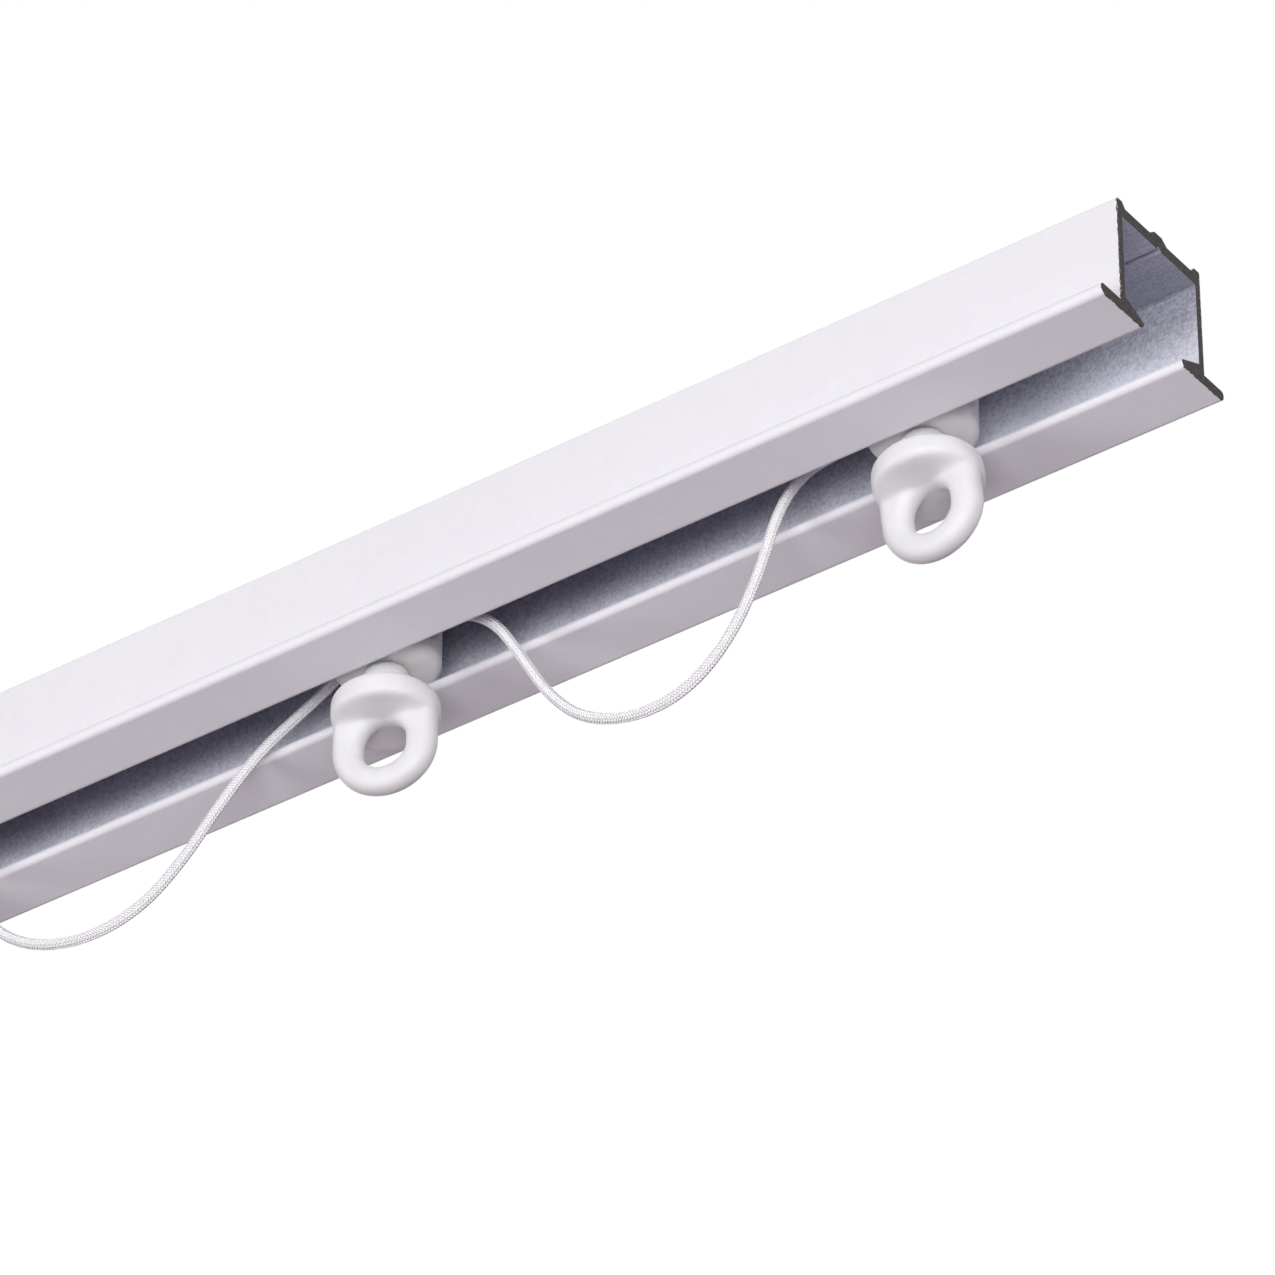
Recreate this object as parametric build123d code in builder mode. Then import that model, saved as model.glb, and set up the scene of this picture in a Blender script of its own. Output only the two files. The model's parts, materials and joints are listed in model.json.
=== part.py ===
# Ceiling curtain track for wave-fold curtains: a white T-flanged channel, open below,
# with gliders that a thin braided cord ties together at one pitch.
#
# Frame, in millimetres: +X runs along the track to the open end, +Z is up, -Y is the front
# wall. The origin is on the ceiling face, halfway along the track.

import os
from math import pi, radians, sqrt, tan

from build123d import *

# Track profile
track_length = 380.0
channel_width = 13.65
channel_height = 12.9
wall = 0.8
web = 1.2
flange_width = 20.0
flange_thickness = 1.15
flange_edge_round = 0.62
flange_top_round = 0.4
slot_width = 6.3
lip_root = 1.95
lip_tip = 0.72
lip_edge_round = 0.6

# Ridges that meet the ceiling, and the drill line under the middle one
ridge_height = 0.6
ridge_top = 1.2
ridge_foot = 2.8
corner_ridge_top = 0.9
corner_ridge_foot = 1.4
corner_ridge_round = 0.25
drill_line_width = 0.8
drill_line_depth = 0.4

# Glider carriers, which run on the lips
glider_from_end = 26.05
tight_pitch = 61.15
slack_pitch = 65.3
glider_pairs = 2
carrier_length = 10.5
carrier_width = 10.2
carrier_bottom_round = 0.8
carrier_top_round = 0.4
carrier_floor = 1.15
carrier_headroom = 0.7
carrier_play = 0.1

# Cord clamp, pressed into the carrier from above
clamp_length = 6.8
clamp_width = 4.4
clamp_lid_length = 8.6
clamp_lid_width = 6.0
clamp_lid_thickness = 0.9
clamp_grip = 0.2
clamp_clearance = 0.05
cord_mouth_round = 0.45

# Swivel eye: snap head, neck, button and ring in one moulding
stem_radius = 1.35
stem_clearance = 0.1
head_radius = 1.85
head_height = 0.7
head_clearance = 0.25
head_lead_in = 0.3
head_split = 0.6
head_split_depth = 2.6
neck_radius = 2.15
neck_top_round = 0.35
neck_flare = 1.5
swivel_play = 0.2
button_radius = 5.2
button_thickness = 2.55
button_drop = 1.95
button_top_round = 0.9
button_bottom_round = 0.65
ring_width = 10.25
ring_side_bar = 2.9
ring_bottom_bar = 2.6
ring_depth = 2.6
ring_bar_round = 1.1
ring_hole_height = 5.3
ring_hole_below_button = 0.1
eye_turns = (2.0, 17.0, -5.0, 4.0, -3.0)
eye_leans = (5.8, 0.0, 1.0, 0.0, 2.0)

# Cord, and its route between two carriers: distance along the track from the right-hand
# carrier's middle, sideways swing, and height below the cord's line in the carriers
cord_diameter = 1.1
cord_clearance = 0.27
tight_route = (
    (-61.15, 0.0, 0.0),
    (-56.8, 0.0, 0.0),
    (-52.3, -0.35, 0.1),
    (-48.4, -0.15, -2.4),
    (-45.55, 0.15, -7.4),
    (-42.35, 0.2, -13.3),
    (-38.35, 0.3, -17.75),
    (-32.55, 0.3, -20.05),
    (-26.55, 0.2, -19.6),
    (-21.65, 0.1, -15.9),
    (-18.25, 0.1, -9.9),
    (-16.15, 0.0, -3.95),
    (-13.3, 0.0, -0.75),
    (-9.1, 0.0, -0.12),
    (-4.5, 0.0, 0.0),
    (0.0, 0.0, 0.0),
)
slack_route = (
    (-65.3, 0.0, 0.0),
    (-60.9, 0.0, 0.0),
    (-56.5, 0.1, -0.4),
    (-52.9, 0.2, -2.8),
    (-50.6, 0.3, -7.7),
    (-47.4, 0.4, -13.3),
    (-42.3, 0.6, -17.0),
    (-36.0, 0.8, -18.4),
    (-30.0, 1.2, -17.1),
    (-25.3, 1.6, -13.2),
    (-21.4, 1.9, -8.35),
    (-16.8, 2.0, -4.05),
    (-12.1, 1.9, -1.85),
    (-8.3, 1.35, -0.7),
    (-4.4, 0.0, 0.0),
    (0.0, 0.0, 0.0),
)

os.makedirs("parts", exist_ok=True)

# Levels and places that follow from the sizes
open_end_x = track_length / 2
channel_inside = channel_width - 2 * wall
ceiling_z = -ridge_height - web
base_z = -channel_height
lip_slope = (lip_root - lip_tip) / ((channel_inside - slot_width) / 2)
carrier_flat = carrier_width / 2 - carrier_bottom_round
lip_under_flat_z = base_z + lip_tip + lip_slope * (carrier_flat - slot_width / 2)
seat_offset = (carrier_bottom_round + carrier_play) * sqrt(1 + lip_slope**2)
carrier_bottom_z = lip_under_flat_z + seat_offset - carrier_bottom_round
carrier_top_z = ceiling_z - carrier_headroom
floor_top_z = carrier_bottom_z + carrier_floor
head_bottom_z = floor_top_z + swivel_play
head_top_z = head_bottom_z + head_height
cord_radius = cord_diameter / 2
cord_bore_radius = cord_radius + cord_clearance
cord_z = head_top_z + swivel_play + cord_radius
swivel_z = (carrier_bottom_z + floor_top_z) / 2
pocket_floor_z = cord_z - cord_radius - clamp_clearance
lid_recess_length = clamp_lid_length + 2 * clamp_clearance
lid_recess_width = clamp_lid_width + 2 * clamp_clearance
button_top_z = base_z - button_drop
button_bottom_z = button_top_z - button_thickness

glider_x = [open_end_x - glider_from_end]
for _ in range(glider_pairs):
    glider_x.append(glider_x[-1] - tight_pitch)
    glider_x.append(glider_x[-1] - slack_pitch)


def save(part, name):
    """Label a finished piece and write it as its own STEP file."""
    part.label = name
    export_step(part, f"parts/{name}.step")


def nearest_corner(sketch, across, up):
    """The corner of a sketch's outline that lies at a place in the sketch's own plane."""
    return sketch.vertices().sort_by_distance((across, up, 0))[0]


# Track: one extrusion, drawn as the half section y >= 0 and mirrored
with BuildPart() as track:
    with BuildSketch(Plane.YZ.offset(-track_length / 2)) as section:
        with BuildLine():
            Polyline(
                (0, 0),
                (ridge_top / 2, 0),
                (ridge_foot / 2, -ridge_height),
                (channel_width / 2 - corner_ridge_foot, -ridge_height),
                (channel_width / 2 - corner_ridge_top, 0),
                (channel_width / 2, 0),
                (channel_width / 2, base_z + flange_thickness),
                (flange_width / 2, base_z + flange_thickness),
                (flange_width / 2, base_z),
                (slot_width / 2, base_z),
                (slot_width / 2, base_z + lip_tip),
                (channel_inside / 2, base_z + lip_root),
                (channel_inside / 2, ceiling_z),
                (drill_line_width / 2, ceiling_z),
                (0, ceiling_z + drill_line_depth),
                (0, 0),
            )
        make_face()
        fillet(nearest_corner(section, flange_width / 2, base_z), flange_edge_round)
        fillet(nearest_corner(section, flange_width / 2, base_z + flange_thickness),
               flange_top_round)
        fillet(nearest_corner(section, slot_width / 2, base_z), lip_edge_round)
        fillet(nearest_corner(section, channel_width / 2, 0), corner_ridge_round)
        mirror(about=Plane.YZ)
    extrude(amount=track_length)
save(track.part, "track_profile")


def build_carrier(x):
    """Round-ended carrier body with a floor bore, a cord bore and a pocket for the clamp."""
    with BuildPart() as carrier:
        with BuildSketch(Plane.XY.offset(carrier_bottom_z)):
            with Locations((x, 0)):
                SlotOverall(carrier_length, carrier_width)
        extrude(amount=carrier_top_z - carrier_bottom_z)
        fillet(carrier.faces().sort_by(Axis.Z)[0].edges(), carrier_bottom_round)
        fillet(carrier.faces().sort_by(Axis.Z)[-1].edges(), carrier_top_round)
        # Pocket for the clamp, down to the line that the cord lies on, and the lid's recess
        with BuildSketch(Plane.XY.offset(carrier_top_z)):
            with Locations((x, 0)):
                Rectangle(clamp_length + 2 * clamp_clearance, clamp_width + 2 * clamp_clearance)
        extrude(amount=-(carrier_top_z - pocket_floor_z), mode=Mode.SUBTRACT)
        with BuildSketch(Plane.XY.offset(carrier_top_z)):
            with Locations((x, 0)):
                RectangleRounded(lid_recess_length, lid_recess_width, clamp_lid_thickness)
        extrude(amount=-clamp_lid_thickness, mode=Mode.SUBTRACT)
        # Chamber for the snap head, and the bore that the stem turns in
        with BuildSketch(Plane.XY.offset(floor_top_z)):
            with Locations((x, 0)):
                Circle(head_radius + head_clearance)
        extrude(amount=head_height + 2 * swivel_play, mode=Mode.SUBTRACT)
        with BuildSketch(Plane.XY.offset(carrier_bottom_z)):
            with Locations((x, 0)):
                Circle(stem_radius + stem_clearance)
        extrude(amount=carrier_floor, mode=Mode.SUBTRACT)
        # Cord bore from end to end, with rounded mouths
        with BuildSketch(Plane.YZ.offset(x - carrier_length / 2)):
            with Locations((0, cord_z)):
                Circle(cord_bore_radius)
        extrude(amount=carrier_length, mode=Mode.SUBTRACT)
        for mouth_x in (x - carrier_length / 2, x + carrier_length / 2):
            fillet(carrier.edges().sort_by_distance((mouth_x, 0, cord_z))[0], cord_mouth_round)
    return carrier.part


def build_clamp(x):
    """Plug with a lid, whose grooved foot holds the cord down on the carrier's floor."""
    with BuildPart() as clamp:
        with BuildSketch(Plane.XY.offset(carrier_top_z)):
            with Locations((x, 0)):
                RectangleRounded(clamp_lid_length, clamp_lid_width, clamp_lid_thickness)
        extrude(amount=-clamp_lid_thickness)
        with BuildSketch(Plane.XY.offset(carrier_top_z - clamp_lid_thickness)):
            with Locations((x, 0)):
                Rectangle(clamp_length, clamp_width)
        extrude(amount=-(carrier_top_z - clamp_lid_thickness - cord_z + clamp_grip))
        with BuildSketch(Plane.YZ.offset(x - clamp_length / 2)):
            with Locations((0, cord_z)):
                Circle(cord_radius + clamp_clearance)
        extrude(amount=clamp_length, mode=Mode.SUBTRACT)
    return clamp.part


def build_eye(x, turn, lean):
    """Swivel eye: split snap head, stem, flared neck, button and hanging ring.

    It is built upright and then leans along the track in the play of its bore.
    """
    ring_plane = Plane(origin=(x, 0, 0), x_dir=Vector(1, 0, 0).rotate(Axis.Z, turn),
                       z_dir=Vector(0, -1, 0).rotate(Axis.Z, turn))
    hole_width = ring_width - 2 * ring_side_bar
    hole_top_z = button_bottom_z - ring_hole_below_button
    hole_bottom_z = hole_top_z - ring_hole_height
    ring_bottom_z = hole_bottom_z - ring_bottom_bar
    with BuildPart() as eye:
        # Ring: a flat loop with rounded bars, whose top is buried in the button
        with BuildSketch(ring_plane.offset(-ring_depth / 2)):
            loop_height = 2 * (button_top_z - ring_bottom_z)
            with Locations((0, ring_bottom_z + loop_height / 2)):
                SlotOverall(loop_height, ring_width, rotation=90)
            with Locations((0, (hole_top_z + hole_bottom_z) / 2)):
                SlotOverall(ring_hole_height, hole_width, rotation=90, mode=Mode.SUBTRACT)
        extrude(amount=ring_depth)
        flat_sides = eye.faces().filter_by(GeomType.PLANE).sort_by(SortBy.AREA)[-2:]
        fillet(flat_sides.edges(), ring_bar_round)
        split(bisect_by=Plane.XY.offset((button_top_z + button_bottom_z) / 2), keep=Keep.BOTTOM)
        # Button, neck, stem and head: one turned form about the swivel axis
        with BuildSketch(Plane(origin=(x, 0, 0), x_dir=(1, 0, 0), z_dir=(0, -1, 0))) as turned:
            with BuildLine():
                Polyline(
                    (0, button_bottom_z),
                    (button_radius, button_bottom_z),
                    (button_radius, button_top_z),
                    (neck_radius, button_top_z),
                    (neck_radius, carrier_bottom_z - swivel_play),
                    (stem_radius, carrier_bottom_z - swivel_play),
                    (stem_radius, head_bottom_z),
                    (head_radius, head_bottom_z),
                    (head_radius, head_top_z - head_lead_in),
                    (head_radius - head_lead_in, head_top_z),
                    (0, head_top_z),
                    (0, button_bottom_z),
                )
            make_face()
            fillet(nearest_corner(turned, button_radius, button_bottom_z), button_bottom_round)
            fillet(nearest_corner(turned, button_radius, button_top_z), button_top_round)
            fillet(nearest_corner(turned, neck_radius, button_top_z), neck_flare)
            fillet(nearest_corner(turned, neck_radius, carrier_bottom_z - swivel_play),
                   neck_top_round)
        revolve(axis=Axis((x, 0, 0), (0, 0, 1)))
        # The slit that lets the head close up as it snaps in
        with BuildSketch(Plane.XY.offset(head_top_z)):
            with Locations((x, 0)):
                Rectangle(2 * head_radius, head_split, rotation=turn)
        extrude(amount=-head_split_depth, mode=Mode.SUBTRACT)
    return eye.part.rotate(Axis((x, 0, swivel_z), (0, 1, 0)), -lean)


for number, (x, turn, lean) in enumerate(zip(glider_x, eye_turns, eye_leans), start=1):
    save(build_carrier(x), f"glider_{number}_carrier")
    save(build_clamp(x), f"glider_{number}_cord_clamp")
    save(build_eye(x, turn, lean), f"glider_{number}_swivel_eye")


def corner_radius(before, corner, after):
    """Largest arc that both runs at a corner of the route leave room for."""
    leg_in, leg_out = corner - before, after - corner
    half_turn = radians(leg_in.get_angle(leg_out)) / 2
    return 0.45 * min(leg_in.length, leg_out.length) / tan(half_turn)


def build_span(route, right_x):
    """One span of cord: straight runs joined by tangent arcs, swept with a round section."""
    points = [Vector(right_x + along, swing, cord_z + drop) for along, swing, drop in route]
    radii = [corner_radius(*points[i - 1:i + 2]) for i in range(1, len(points) - 1)]
    with BuildPart() as span:
        with BuildLine() as path:
            FilletPolyline(*points, radius=radii)
        with BuildSketch(Plane(origin=path.wire() @ 0, z_dir=path.wire() % 0)):
            Circle(cord_radius)
        sweep()
    length = path.wire().length
    share = span.part.volume / (pi * cord_radius**2 * length)
    print(f"span length {length:.2f}, smallest radius {min(radii):.2f}, volume share {share:.4f}")
    return span.part


for number, right_x in enumerate(glider_x[:-1], start=1):
    route = tight_route if number % 2 else slack_route
    save(build_span(route, right_x), f"cord_span_{number}")
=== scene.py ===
"""Looks of the ceiling curtain track: a white channel, moulded gliders and a braided cord.

The frame is the CAD model's: metres, +X along the track to the open end, +Z up, and the
front wall on the -Y side. The camera stands below the track and looks up at it.
"""

import json

from math import cos, pi, sin

import bpy
import numpy as np
from mathutils import Matrix, Vector

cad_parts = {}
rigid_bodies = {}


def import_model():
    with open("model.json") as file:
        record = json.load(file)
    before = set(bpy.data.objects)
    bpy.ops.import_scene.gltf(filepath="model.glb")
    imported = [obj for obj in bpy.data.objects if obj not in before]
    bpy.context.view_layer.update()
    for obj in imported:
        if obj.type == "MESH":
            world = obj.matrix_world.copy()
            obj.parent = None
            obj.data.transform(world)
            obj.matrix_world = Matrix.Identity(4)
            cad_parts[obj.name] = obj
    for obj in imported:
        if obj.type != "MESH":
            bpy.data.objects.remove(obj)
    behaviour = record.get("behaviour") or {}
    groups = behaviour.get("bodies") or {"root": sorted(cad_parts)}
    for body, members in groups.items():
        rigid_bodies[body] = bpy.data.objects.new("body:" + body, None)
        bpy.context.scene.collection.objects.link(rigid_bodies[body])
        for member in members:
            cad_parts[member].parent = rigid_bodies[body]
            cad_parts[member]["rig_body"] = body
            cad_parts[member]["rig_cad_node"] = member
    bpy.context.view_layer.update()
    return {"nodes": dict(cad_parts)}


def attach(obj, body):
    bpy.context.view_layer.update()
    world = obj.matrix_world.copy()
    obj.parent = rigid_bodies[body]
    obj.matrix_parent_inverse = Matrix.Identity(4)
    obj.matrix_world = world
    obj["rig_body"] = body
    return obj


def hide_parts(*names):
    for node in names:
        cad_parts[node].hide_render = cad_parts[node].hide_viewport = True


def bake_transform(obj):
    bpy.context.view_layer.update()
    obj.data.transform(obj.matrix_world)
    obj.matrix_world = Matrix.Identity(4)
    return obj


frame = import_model()

MM = 0.001

# Sizes that the CAD source gives as well, in millimetres
CHANNEL_INSIDE = 12.05
CHANNEL_WIDTH = 13.65
HALF_LENGTH = 190.0
CEILING = -1.8
BASE = -12.9
LIP_EDGE_ROUND = 0.6
DRILL_LINE = 0.8
CORD_LEVEL = -8.709
GLIDER_PLACES = (163.95, 102.8, 37.5, -23.65, -88.95)

# Route of the cord between two gliders: along, sideways and up from the right-hand one's bore
TIGHT_ROUTE = (
    (-61.15, 0.0, 0.0),
    (-56.8, 0.0, 0.0),
    (-52.3, -0.35, 0.1),
    (-48.4, -0.15, -2.4),
    (-45.55, 0.15, -7.4),
    (-42.35, 0.2, -13.3),
    (-38.35, 0.3, -17.75),
    (-32.55, 0.3, -20.05),
    (-26.55, 0.2, -19.6),
    (-21.65, 0.1, -15.9),
    (-18.25, 0.1, -9.9),
    (-16.15, 0.0, -3.95),
    (-13.3, 0.0, -0.75),
    (-9.1, 0.0, -0.12),
    (-4.5, 0.0, 0.0),
    (0.0, 0.0, 0.0),
)
SLACK_ROUTE = (
    (-65.3, 0.0, 0.0),
    (-60.9, 0.0, 0.0),
    (-56.5, 0.1, -0.4),
    (-52.9, 0.2, -2.8),
    (-50.6, 0.3, -7.7),
    (-47.4, 0.4, -13.3),
    (-42.3, 0.6, -17.0),
    (-36.0, 0.8, -18.4),
    (-30.0, 1.2, -17.1),
    (-25.3, 1.6, -13.2),
    (-21.4, 1.9, -8.35),
    (-16.8, 2.0, -4.05),
    (-12.1, 1.9, -1.85),
    (-8.3, 1.35, -0.7),
    (-4.4, 0.0, 0.0),
    (0.0, 0.0, 0.0),
)


# Shader nodes


class Wire:
    """The output of a shader node, so that sums on it read as plain expressions."""

    def __init__(self, finish, socket):
        self.finish = finish
        self.socket = socket

    def math(self, operation, *others):
        values = dict(enumerate((self, *others)))
        return self.finish.add("ShaderNodeMath", {"operation": operation}, values)

    def __add__(self, other):
        return self.math("ADD", other)

    __radd__ = __add__

    def __mul__(self, other):
        return self.math("MULTIPLY", other)

    __rmul__ = __mul__

    def __sub__(self, other):
        return self.math("SUBTRACT", other)

    def __rsub__(self, other):
        return self * -1 + other

    def __truediv__(self, other):
        return self.math("DIVIDE", other)

    def __gt__(self, other):
        return self.math("GREATER_THAN", other)

    def __lt__(self, other):
        return self.math("LESS_THAN", other)

    def __abs__(self):
        return self.math("ABSOLUTE")

    def larger(self, other):
        return self.math("MAXIMUM", other)

    def rise(self, low, high):
        """0 below low, 1 above high, and a soft slope between them."""
        settings = {"interpolation_type": "SMOOTHSTEP"}
        return self.finish.add("ShaderNodeMapRange", settings,
                               {"Value": self, "From Min": low, "From Max": high})


class Finish:
    """One material, or the world, built node by node."""

    def __init__(self, name, owner=None):
        self.owner = owner or bpy.data.materials.new(name)
        self.owner.use_nodes = True
        self.tree = self.owner.node_tree
        self.tree.nodes.clear()

    def add(self, kind, settings=None, inputs=None, output=0):
        """A node with its settings made first, then its values or links; gives one output."""
        node = self.tree.nodes.new(kind)
        for key, value in (settings or {}).items():
            setattr(node, key, value)
        for key, value in (inputs or {}).items():
            if isinstance(value, Wire):
                self.tree.links.new(value.socket, node.inputs[key])
            else:
                node.inputs[key].default_value = value
        return Wire(self, node.outputs[output]) if len(node.outputs) else None

    def place(self):
        """Object coordinates in millimetres, as the three wires x, y and z."""
        metres = self.add("ShaderNodeTexCoord", output="Object")
        self.at = self.add("ShaderNodeVectorMath", {"operation": "SCALE"},
                           {0: metres, "Scale": 1 / MM})
        return [self.add("ShaderNodeSeparateXYZ", inputs={0: self.at}, output=i)
                for i in range(3)]

    def stretched(self, x, y, z, at=None):
        """The place with each axis scaled, for a pattern that is drawn out one way."""
        return self.add("ShaderNodeVectorMath", {"operation": "MULTIPLY"},
                        {0: at or self.at, 1: (x, y, z)})

    def noise(self, scale, detail=2.0, at=None):
        return self.add("ShaderNodeTexNoise", inputs={
            "Vector": at or self.at, "Scale": scale, "Detail": detail})

    def mix(self, share, first, second):
        return self.add("ShaderNodeMix", {"data_type": "RGBA"},
                        {0: share, 6: first, 7: second}, output=2)

    def bump(self, height, strength, distance, under=None):
        inputs = {"Height": height, "Strength": strength, "Distance": distance}
        if under:
            inputs["Normal"] = under
        return self.add("ShaderNodeBump", inputs=inputs)

    def seen(self):
        """1 where the camera looks straight at it, in a mirror or through glass, else 0."""
        camera, glossy, transmission = (
            self.add("ShaderNodeLightPath", output=f"Is {ray} Ray")
            for ray in ("Camera", "Glossy", "Transmission"))
        return camera.larger(glossy).larger(transmission)

    def surface(self, **inputs):
        named = {key.replace("_", " ").title().replace("Ior", "IOR"): value
                 for key, value in inputs.items()}
        shader = self.add("ShaderNodeBsdfPrincipled", inputs=named)
        self.add("ShaderNodeOutputMaterial", inputs={"Surface": shader})
        return self.owner


# Finish of the track: the darkest and the lightest tone of each surface

COATING = (0.79, 0.775, 0.82, 1), (0.94, 0.93, 0.97, 1)
BARE_METAL = (0.30, 0.305, 0.37, 1), (0.85, 0.86, 0.95, 1)
# The sawn metal's tones are painted shade: the cut faces are painted near-black for the shade
# they lie in, and chips in the coating by a cut take the same tone
SAWN_METAL_IN_PAINTED_SHADE = (0.016, 0.012, 0.013, 1), (0.068, 0.055, 0.054, 1)
# The drill line's tone is painted shade in its groove
DRILL_LINE_PAINTED_SHADE = (0.16, 0.16, 0.18, 1)
DRILL_LINE_SHADE_SHARE = 0.4

# How far each mask goes past the edge of its surface, in millimetres
WALL_MARGIN = 0.3
WEB_MARGIN = 0.35
LIP_MARGIN = 0.02
CUT_MARGIN = 0.01
RIM_MARGIN = 0.02
DRILL_LINE_SHADE_MARGIN = 0.05

# A face whose normal has more than this share along the track belongs to a cut
FACING_ALONG = 0.7

# Painted light inside the channel, brightest by the slot and low near the cut ends, with
# painted shade high near the ends and on the web: distances from a cut end in millimetres,
# heights as shares of the way from the base to the ceiling, and painted light as the share that
# looks light
END_LIGHT_FROM = 60.0
END_LIGHT_FULL = 22.0
END_LIGHT_FADES = 15.0
END_LIGHT_LOSS = 0.5
END_LIGHT_HEIGHTS = 0.5, 0.85
SLOT_LIGHT_HEIGHTS = 0.2, 0.85
WEB_HEIGHT = 0.97
SLOT_PAINTED_LIGHT = 0.68
LEAST_PAINTED_LIGHT = 0.1
END_PAINTED_LIGHT = 0.82
END_PAINTED_LIGHT_SHARE = 0.8
WEB_PAINTED_LIGHT = 0.05

# Speckle of the bare metal: the share that the ends add, which paints light there too, and the
# share that the web takes off, which paints shade on it
END_SPECKLE_AND_LIGHT = 0.4
WEB_PAINTED_SHADE = 0.55

# Tone of the bare metal: swing of the drawn-out cast, the painted shade taken off at the ends,
# and what goes everywhere
CAST_SWING = 0.3
END_PAINTED_SHADE = 0.23
DIMMING = 0.4

# Coating that the saw chipped off the rim of a cut, and the crumbs of it on the cut
CHIP_DEPTH = 0.4
CHIPPED_ABOVE = 0.4
CRUMBS_ABOVE = 0.58
CRUMB_WHITENESS = 0.8
RIM_WIDTH = 0.16
RIM_ABOVE_BASE = 2.0


def metal_with_painted_light(finish, x, y, z, grain):
    """Silvery metal with painted light, brightest by the slot and low near the cut ends, and
    painted shade high near the ends and on the web.
    """
    height = (z - BASE) / (CEILING - BASE)
    web = height > WEB_HEIGHT
    # How much painted light and shade goes on near a cut end; it fades again at the very end
    end_light_and_shade = (abs(x).rise(HALF_LENGTH - END_LIGHT_FROM, HALF_LENGTH - END_LIGHT_FULL)
                - abs(x).rise(HALF_LENGTH - END_LIGHT_FADES, HALF_LENGTH) * END_LIGHT_LOSS)

    # Painted light, brightest next to the slot, stronger low near the ends, and a little on the
    # web
    by_slot = 1 - height.rise(*SLOT_LIGHT_HEIGHTS)
    painted_light_share = by_slot * by_slot * by_slot * SLOT_PAINTED_LIGHT + LEAST_PAINTED_LIGHT
    below_web = 1 - height.rise(*END_LIGHT_HEIGHTS)
    painted_light_share = painted_light_share + end_light_and_shade * below_web * (END_PAINTED_LIGHT - painted_light_share) * END_PAINTED_LIGHT_SHARE
    painted_light_share = painted_light_share + web * WEB_PAINTED_LIGHT

    cast = finish.noise(0.5, at=finish.stretched(0.3, 1.0, 1.0))
    # Speckle, stronger near the ends, where it paints light, and weaker on the web, where
    # taking it off paints shade
    speckle_light_and_shade = grain * (end_light_and_shade * END_SPECKLE_AND_LIGHT + 1.0 - web * WEB_PAINTED_SHADE)
    tone = speckle_light_and_shade - end_light_and_shade * END_PAINTED_SHADE + cast * CAST_SWING + painted_light_share - DIMMING
    metal = finish.mix(tone, *BARE_METAL)
    # Painted shade along the groove of the drill line on the ceiling
    line = (abs(y) < DRILL_LINE / 4) * (z > CEILING + DRILL_LINE_SHADE_MARGIN)
    return finish.mix(line * DRILL_LINE_SHADE_SHARE, metal, DRILL_LINE_PAINTED_SHADE)


def coated_aluminium():
    """White coating outside, bare silvery metal with painted light and shade inside the
    channel, and cut ends painted dark with shade.
    """
    finish = Finish("coated_aluminium")
    x, y, z = finish.place()
    facing = finish.add("ShaderNodeNewGeometry", output="Normal")
    facing_x = finish.add("ShaderNodeSeparateXYZ", inputs={0: facing}, output=0)

    # Where each surface is
    inside = ((abs(y) < CHANNEL_INSIDE / 2 + WALL_MARGIN) * (z < CEILING + WEB_MARGIN)
              * (z > BASE + LIP_EDGE_ROUND - LIP_MARGIN))
    cut = (abs(x) > HALF_LENGTH - CUT_MARGIN) * (abs(facing_x) > FACING_ALONG)

    # The coating is uneven at four scales, from the widest clouds to the finest grain
    cloud = finish.noise(0.02, detail=3.0)
    mottle = finish.noise(0.35)
    fine = finish.noise(1.3)
    grain = finish.noise(3.4)
    white = finish.mix(cloud * 0.25 + mottle * 0.25 + fine * 0.2 + grain * 0.3, *COATING)
    metal = metal_with_painted_light(finish, x, y, z, grain)
    saw = finish.noise(5.0, at=finish.stretched(1.0, 0.35, 1.6))
    # The cut faces: saw streaks in a near-black that is painted shade
    sawn_in_painted_shade = finish.mix(saw.rise(0.35, 0.65), *SAWN_METAL_IN_PAINTED_SHADE)

    crumb = finish.noise(3.0, detail=3.0)
    chipped = (1 - cut) * (abs(x) > HALF_LENGTH - CHIP_DEPTH * (crumb - CHIPPED_ABOVE))
    rim = ((abs(y) > CHANNEL_WIDTH / 2 - RIM_WIDTH) * (abs(y) < CHANNEL_WIDTH / 2 + RIM_MARGIN)
           * (z > BASE + RIM_ABOVE_BASE))
    crumbs = cut * rim * (crumb > CRUMBS_ABOVE)
    colour = finish.mix(inside, white, metal)
    colour = finish.mix(cut.larger(chipped * (1 - inside)), colour, sawn_in_painted_shade)
    colour = finish.mix(crumbs * CRUMB_WHITENESS, colour, white)

    peel = finish.bump(finish.noise(0.9), strength=0.05, distance=0.02 * MM)
    rough = finish.bump(grain * inside + saw * cut, strength=0.2, distance=0.03 * MM,
                        under=peel)
    return finish.surface(
        base_color=colour,
        metallic=inside * 0.3,
        roughness=0.5,
        specular_ior_level=0.15,
        coat_weight=0.3 * (1 - inside.larger(cut)),
        coat_roughness=0.5,
        normal=rough,
    )


def moulded_plastic(name, shade, light, dullness, milk):
    """Milky plastic with the faintest swirl; milk is the share of light that soaks in."""
    finish = Finish(name)
    finish.place()
    swirl = finish.noise(0.4, detail=3.0)
    speck = finish.noise(6.0)
    return finish.surface(
        base_color=finish.mix(swirl.rise(0.3, 0.7), shade, light),
        roughness=dullness + speck * 0.08,
        normal=finish.bump(speck, strength=0.06, distance=0.02 * MM),
        subsurface_weight=milk,
        subsurface_radius=(1.0, 0.9, 0.8),
        subsurface_scale=2.2 * MM,
    )


FIBRE_TONES = (0.91, 0.90, 0.92, 1), (0.96, 0.955, 0.975, 1)
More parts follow.
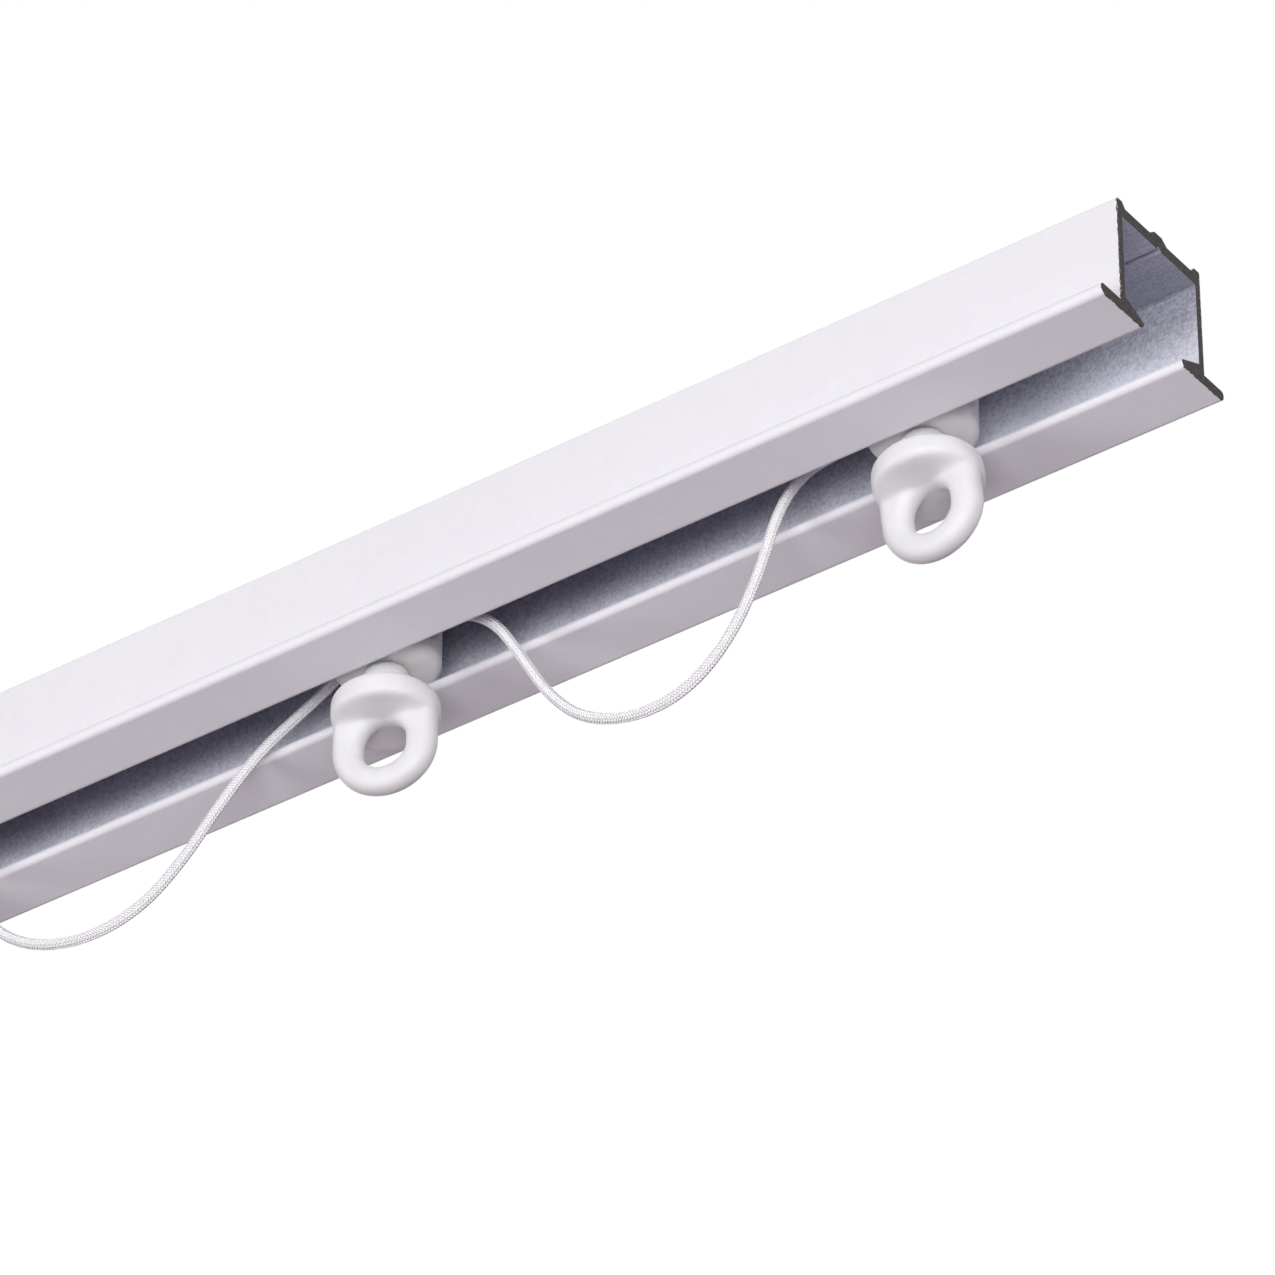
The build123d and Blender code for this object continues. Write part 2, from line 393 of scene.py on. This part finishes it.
# The gap tone is painted shade, for where a strand dives under the others and for the core seen
# between the strands
GAP_PAINTED_SHADE = (0.80, 0.79, 0.82, 1)


def braided_fibre():
    """White polyester strands; each one's map tells where it dives under the others, and there
    it is painted darker as shade.
    """
    finish = Finish("braided_cord")
    finish.place()
    strand = finish.add("ShaderNodeUVMap", {"uv_map": "strand"})
    lay = finish.add("ShaderNodeSeparateXYZ", inputs={0: strand}, output=1)
    # Where a strand dives under the others, it is painted darker as shade
    height = (lay * pi).math("COSINE")
    fibres = finish.noise(1.0, at=finish.stretched(14.0, 5.0, 1.0, at=strand))
    shade = finish.noise(0.5)
    tone = finish.mix(fibres * 0.5 + shade * 0.5, *FIBRE_TONES)
    return finish.surface(
        base_color=finish.mix(height.rise(0.0, 0.5), GAP_PAINTED_SHADE, tone),
        roughness=0.6,
        normal=finish.bump(fibres, strength=0.2, distance=0.02 * MM),
    )


white_track = coated_aluminium()
carrier_plastic = moulded_plastic(
    "glider_plastic", (0.87, 0.855, 0.84, 1), (0.91, 0.90, 0.885, 1), dullness=0.5, milk=0.5)
eye_plastic = moulded_plastic(
    "eye_plastic", (0.775, 0.77, 0.785, 1), (0.815, 0.81, 0.825, 1), dullness=0.5, milk=1.0)
cord_fibre = braided_fibre()


def dress(piece, material):
    piece.data.materials.clear()
    piece.data.materials.append(material)


# Cord

STRANDS_EACH_WAY = 8
STRAND_TURN = 2.56 * MM
STRAND_WIDTH = 0.34 * MM
STRAND_THICKNESS = 0.10 * MM
BRAID_RADIUS = 0.44 * MM
BRAID_WAVE = 0.06 * MM
STRAND_STEP = 0.1 * MM
CORE_RADIUS = 0.39 * MM
CORE_STEP = 0.5 * MM
CORE_SIDES = 12
SAME_POINT = 1e-7


def centre_line(route, right_x):
    """Points of the smooth line whose control points are the route's."""
    curve = bpy.data.curves.new("cord_line", "CURVE")
    curve.dimensions = "3D"
    spline = curve.splines.new("NURBS")
    spline.points.add(len(route) - 1)
    for point, (along, sideways, up) in zip(spline.points, route):
        point.co = ((right_x + along) * MM, sideways * MM, (CORD_LEVEL + up) * MM, 1)
    spline.order_u = 3
    spline.use_endpoint_u = True
    spline.resolution_u = 24
    holder = bpy.data.objects.new("cord_line", curve)
    bpy.context.scene.collection.objects.link(holder)
    depsgraph = bpy.context.evaluated_depsgraph_get()
    mesh = bpy.data.meshes.new_from_object(holder.evaluated_get(depsgraph))
    points = np.array([v.co for v in mesh.vertices])
    bpy.data.objects.remove(holder)
    bpy.data.meshes.remove(mesh)
    steps = np.linalg.norm(np.diff(points, axis=0), axis=1)
    return points[np.concatenate(([True], steps > SAME_POINT))]


def even_steps(line, step):
    """The same line with its points at even distances, and the distance of each."""
    run = np.concatenate(([0], np.cumsum(np.linalg.norm(np.diff(line, axis=0), axis=1))))
    at = np.linspace(0, run[-1], int(round(run[-1] / step)) + 1)
    return np.stack([np.interp(at, run, line[:, i]) for i in range(3)], axis=1), at


def unit(vectors):
    return vectors / np.linalg.norm(vectors, axis=-1, keepdims=True)


def cross_directions(line):
    """Two directions across the line at each point, carried along it without twist."""
    tangent = unit(np.gradient(line, axis=0))
    side = unit(np.cross(tangent[0], (0, 0, 1)))
    sides = [side]
    for t in tangent[1:]:
        side = side - t * side.dot(t)
        side /= np.linalg.norm(side)
        sides.append(side)
    sides = np.array(sides)
    return sides, np.cross(tangent, sides)


def add_tube(rings, lay, mesh_data):
    """Append a closed tube through rings of points; the map holds each ring's lay."""
    verts, faces, uvs = mesh_data
    count, sides = rings.shape[:2]
    first = len(verts)
    verts.extend(rings.reshape(-1, 3).tolist())
    for i in range(count - 1):
        for j in range(sides):
            k = (j + 1) % sides
            a, b = first + i * sides, first + (i + 1) * sides
            faces.append((a + j, a + k, b + k, b + j))
            uvs.extend(((j / sides, lay[i]), ((j + 1) / sides, lay[i]),
                        ((j + 1) / sides, lay[i + 1]), (j / sides, lay[i + 1])))
    for end, order in ((first, range(sides - 1, -1, -1)),
                       (first + (count - 1) * sides, range(sides))):
        faces.append(tuple(end + j for j in order))
        uvs.extend((j / sides, lay[0]) for j in order)


def add_strand(line, at, side, up, way, number, mesh_data):
    """Append one flat strand, which goes over two of the other way's and under two."""
    half_step = pi / (2 * STRANDS_EACH_WAY)
    angle = way * 2 * pi * at / STRAND_TURN + 2 * pi * number / STRANDS_EACH_WAY
    outward = side * np.cos(angle)[:, None] + up * np.sin(angle)[:, None]
    lay = STRANDS_EACH_WAY / 2 * (angle - half_step) / pi + (way < 0)
    middle = line + outward * (BRAID_RADIUS + BRAID_WAVE * np.cos(pi * lay))[:, None]
    run = unit(np.gradient(middle, axis=0))
    across = unit(np.cross(run, outward)) * STRAND_WIDTH / 2
    proud = outward * STRAND_THICKNESS / 2
    rings = np.stack([middle - across, middle - proud, middle + across, middle + proud], axis=1)
    add_tube(rings, lay, mesh_data)


def add_core(line, mesh_data):
    """Append the round core, which shows in the gaps between the strands; its map gives it a
    strand's deepest dive, so it takes the painted shade of the gaps.
    """
    side, up = cross_directions(line)
    turn = np.linspace(0, 2 * pi, CORE_SIDES, endpoint=False)
    rings = np.stack([line + (side * cos(a) + up * sin(a)) * CORE_RADIUS for a in turn], axis=1)
    add_tube(rings[:, ::-1], np.ones(len(line)), mesh_data)


def braid(line, name):
    """A round braid about a core, with as many strands turning one way as the other."""
    mesh_data = verts, faces, uvs = [], [], []
    fine, at = even_steps(line, STRAND_STEP)
    side, up = cross_directions(fine)
    for way in (1, -1):
        for number in range(STRANDS_EACH_WAY):
            add_strand(fine, at, side, up, way, number, mesh_data)
    add_core(even_steps(line, CORE_STEP)[0], mesh_data)
    mesh = bpy.data.meshes.new(name)
    mesh.from_pydata(verts, [], faces)
    layer = mesh.uv_layers.new(name="strand")
    layer.data.foreach_set("uv", np.array(uvs, np.float32).ravel())
    mesh.shade_smooth()
    piece = bpy.data.objects.new(name, mesh)
    bpy.context.scene.collection.objects.link(piece)
    return piece


for number, right_x in enumerate(GLIDER_PLACES[:-1], start=1):
    route = TIGHT_ROUTE if number % 2 else SLACK_ROUTE
    line = centre_line(route, right_x)
    cord = braid(line, f"braided_cord_span_{number}")
    dress(cord, cord_fibre)
    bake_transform(cord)
    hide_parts(f"cord_span_{number}")


# Swivel eyes: the CAD solid's copy, with its creases melted as in the moulding

WELD_DISTANCE = 0.001 * MM
REMESH_SIZE = 0.14 * MM
SMOOTHING_SHARE = 0.5
SMOOTHING_ROUNDS = 10


def soft_moulding(node, name):
    """A copy of a moulded node whose inner corners run smoothly into each other."""
    piece = frame["nodes"][node].copy()
    piece.data = piece.data.copy()
    piece.name = name
    piece.parent = None
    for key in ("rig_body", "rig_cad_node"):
        del piece[key]
    bpy.context.scene.collection.objects.link(piece)
    bpy.ops.object.select_all(action="DESELECT")
    piece.select_set(True)
    bpy.context.view_layer.objects.active = piece
    bpy.ops.object.mode_set(mode="EDIT")
    bpy.ops.mesh.select_all(action="SELECT")
    bpy.ops.mesh.remove_doubles(threshold=WELD_DISTANCE)
    bpy.ops.object.mode_set(mode="OBJECT")
    remesh = piece.modifiers.new("even_skin", "REMESH")
    remesh.mode = "VOXEL"
    remesh.voxel_size = REMESH_SIZE
    bpy.ops.object.modifier_apply(modifier=remesh.name)
    smooth = piece.modifiers.new("soft_corners", "SMOOTH")
    smooth.factor = SMOOTHING_SHARE
    smooth.iterations = SMOOTHING_ROUNDS
    bpy.ops.object.modifier_apply(modifier=smooth.name)
    bpy.ops.object.shade_smooth()
    piece.select_set(False)
    return piece


for number in range(1, len(GLIDER_PLACES) + 1):
    eye = soft_moulding(f"glider_{number}_swivel_eye", f"moulded_eye_{number}")
    dress(eye, eye_plastic)
    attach(eye, f"eye_{number}")
    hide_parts(f"glider_{number}_swivel_eye")

for name, node in frame["nodes"].items():
    if name == "track_profile":
        dress(node, white_track)
    elif name.endswith(("_carrier", "_cord_clamp")):
        dress(node, carrier_plastic)
    elif name.endswith("_swivel_eye"):
        dress(node, eye_plastic)
    else:
        dress(node, cord_fibre)


# Floor and sky: both look nearly white, and light the track more softly than they look

FLOOR_LEVEL = -3.0
FLOOR_SIZE = 80.0
FLOOR_PAINT = (0.66, 0.53, 0.62, 1)
FLOOR_GLOW = (0.72, 0.74, 0.72, 1)
SKY_LIGHT = (0.98, 0.985, 1.0, 1)
SKY_STRENGTH = 0.24
SKY_SEEN = (1, 1, 1, 1)


def pale_floor():
    """Paint that glows only where it is looked at, so that it lights the track as paint."""
    finish = Finish("pale_floor")
    paint = finish.add("ShaderNodeBsdfDiffuse", inputs={"Color": FLOOR_PAINT})
    glow = finish.add("ShaderNodeEmission", inputs={"Color": FLOOR_GLOW})
    lit = finish.add("ShaderNodeAddShader", inputs={0: paint, 1: glow})
    shown = finish.add("ShaderNodeMixShader", inputs={0: finish.seen(), 1: paint, 2: lit})
    finish.add("ShaderNodeOutputMaterial", inputs={"Surface": shown})
    return finish.owner


bpy.ops.mesh.primitive_plane_add(size=FLOOR_SIZE, location=(0, 0, FLOOR_LEVEL))
floor = bpy.context.object
floor.name = "floor"
dress(floor, pale_floor())

world = bpy.data.worlds.new("studio")
bpy.context.scene.world = world
sky = Finish("studio", world)
soft = sky.add("ShaderNodeBackground", inputs={"Color": SKY_LIGHT, "Strength": SKY_STRENGTH})
clear = sky.add("ShaderNodeBackground", inputs={"Color": SKY_SEEN, "Strength": 1.0})
mixed = sky.add("ShaderNodeMixShader", inputs={0: sky.seen(), 1: soft, 2: clear})
sky.add("ShaderNodeOutputWorld", inputs={"Surface": mixed})


# Lamps and camera


def soft_lamp(name, place, size, power):
    """A rectangular lamp that faces the track's middle and that the camera doesn't see."""
    lamp = bpy.data.lights.new(name, "AREA")
    lamp.shape = "RECTANGLE"
    lamp.size, lamp.size_y = size
    lamp.energy = power
    holder = bpy.data.objects.new(name, lamp)
    bpy.context.scene.collection.objects.link(holder)
    holder.location = place
    holder.rotation_mode = "QUATERNION"
    holder.rotation_quaternion = (-Vector(place)).to_track_quat("-Z", "Y")
    holder.visible_camera = False


soft_lamp("right_softbox", place=(1.744, -1.221, -0.299), size=(1.0, 0.8), power=20.0)
soft_lamp("left_softbox", place=(-1.262, -1.504, -0.874), size=(1.0, 0.7), power=14.0)
soft_lamp("front_softbox", place=(0.817, -1.751, -0.943), size=(1.4, 0.6), power=18.0)

# The photo's viewpoint, from below and from the open end's side
lens = bpy.data.cameras.new("camera")
lens.lens = 243.925
lens.sensor_width = 36.0
lens.clip_start, lens.clip_end = 0.01, 100.0
camera = bpy.data.objects.new("camera", lens)
bpy.context.scene.collection.objects.link(camera)
camera.matrix_world = Matrix((
    (0.80973078, 0.34685649, 0.47331453, 0.50826540),
    (0.58680117, -0.47769933, -0.65381017, -0.51977363),
    (-0.00067627, 0.80715174, -0.59034364, -0.48937305),
    (0, 0, 0, 1),
))
bpy.context.scene.camera = camera
bpy.context.scene.view_settings.view_transform = "Standard"
